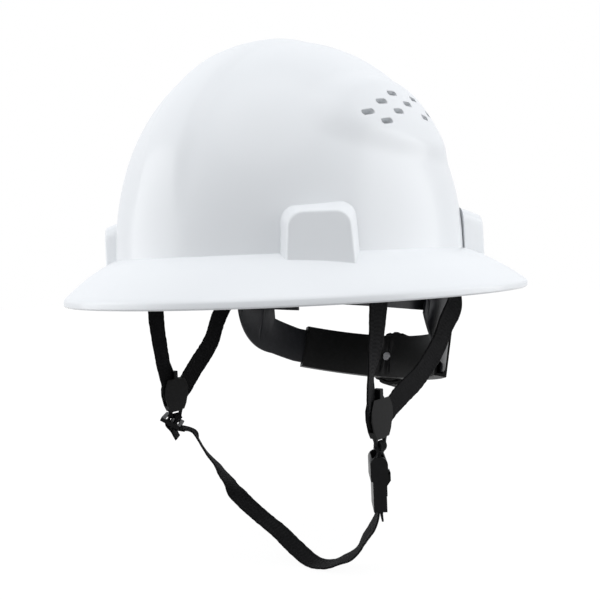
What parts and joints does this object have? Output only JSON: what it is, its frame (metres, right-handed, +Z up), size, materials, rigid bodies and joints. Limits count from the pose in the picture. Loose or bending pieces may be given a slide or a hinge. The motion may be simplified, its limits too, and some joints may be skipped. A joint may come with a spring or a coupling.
{
  "type": "full brim hard hat",
  "caption": "Full brim hard hat with vented shell, textile suspension, ratchet nape strap and chin strap with buckle and adjuster.",
  "frame": {"origin": "middle of the head opening, level with the brim's lower edge", "axes": "-Y is the front of the hat, +X the wearer's left, +Z up through the crown"},
  "size_m": [0.28, 0.32, 0.323],
  "materials": {
    "shell": "satin gloss white",
    "suspension_plastic": "smooth dark plastic",
    "sleeve_plastic": "matte black plastic",
    "buckle_plastic": "matte black plastic",
    "webbing": "woven black webbing",
    "crown_strap": "woven dark grey webbing",
    "pad": "soft black sweatband",
    "screw": "plain"
  },
  "bodies": {
    "hat": {"shell": "shell", "headband": "suspension_plastic", "brow_pad": "pad", "key_front_left": "suspension_plastic", "key_front_right": "suspension_plastic", "key_rear_left": "suspension_plastic", "key_rear_right": "suspension_plastic", "crown_strap_lower": "crown_strap", "crown_strap_upper": "crown_strap", "temple_studs": "suspension_plastic", "strap_anchor_front_left": "suspension_plastic", "strap_anchor_front_right": "suspension_plastic", "strap_anchor_rear_left": "suspension_plastic", "strap_anchor_rear_right": "suspension_plastic", "webbing_front_left": "webbing", "webbing_front_right": "webbing", "webbing_rear_left": "webbing", "webbing_rear_right": "webbing", "divider_left": "buckle_plastic", "divider_right": "buckle_plastic", "neck_webbing": "webbing", "buckle_upper": "buckle_plastic", "buckle_lower": "buckle_plastic", "adjuster": "buckle_plastic", "chin_webbing": "webbing"},
    "nape": {"sleeve_outer_cover": "sleeve_plastic", "sleeve_inner_cover": "sleeve_plastic"},
    "knob": {"ratchet_knob": "sleeve_plastic", "ratchet_pinion": "suspension_plastic", "pawl_spring": "suspension_plastic", "knob_screw": "screw"},
    "arm_left": {"nape_arm_left": "suspension_plastic"},
    "arm_right": {"nape_arm_right": "suspension_plastic"},
    "tab": {"release_tab": "buckle_plastic"}
  },
  "joints": [
    {"name": "nape_tilt", "type": "hinge", "parent": "hat", "child": "nape", "pos_m": [0, 0.0436, 0.00079], "axis": [1, 0, 0], "range_deg": [-8, 8]},
    {"name": "knob_turn", "type": "hinge", "parent": "nape", "child": "knob", "pos_m": [0, 0.11134, -0.05697], "axis": [0, 0.9511, -0.309], "range_deg": [-100, 100]},
    {"name": "arm_left_draw", "type": "hinge", "parent": "nape", "child": "arm_left", "pos_m": [0, 0.0305, -0.0307], "axis": [0, 0.309, 0.9511], "range_deg": [-5.7, 5.7]},
    {"name": "arm_right_draw", "type": "hinge", "parent": "nape", "child": "arm_right", "pos_m": [0, 0.0305, -0.0307], "axis": [0, 0.309, 0.9511], "range_deg": [-5.85, 5.85]},
    {"name": "tab_press", "type": "hinge", "parent": "hat", "child": "tab", "pos_m": [0.08717, -0.03831, -0.1096], "axis": [0.6157, -0.788, 0], "range_deg": [0, 5]}
  ],
  "couplings": [
    {"joint": "arm_left_draw", "follows": "knob_turn", "ratio": 0.056519},
    {"joint": "arm_right_draw", "follows": "knob_turn", "ratio": -0.057948}
  ]
}
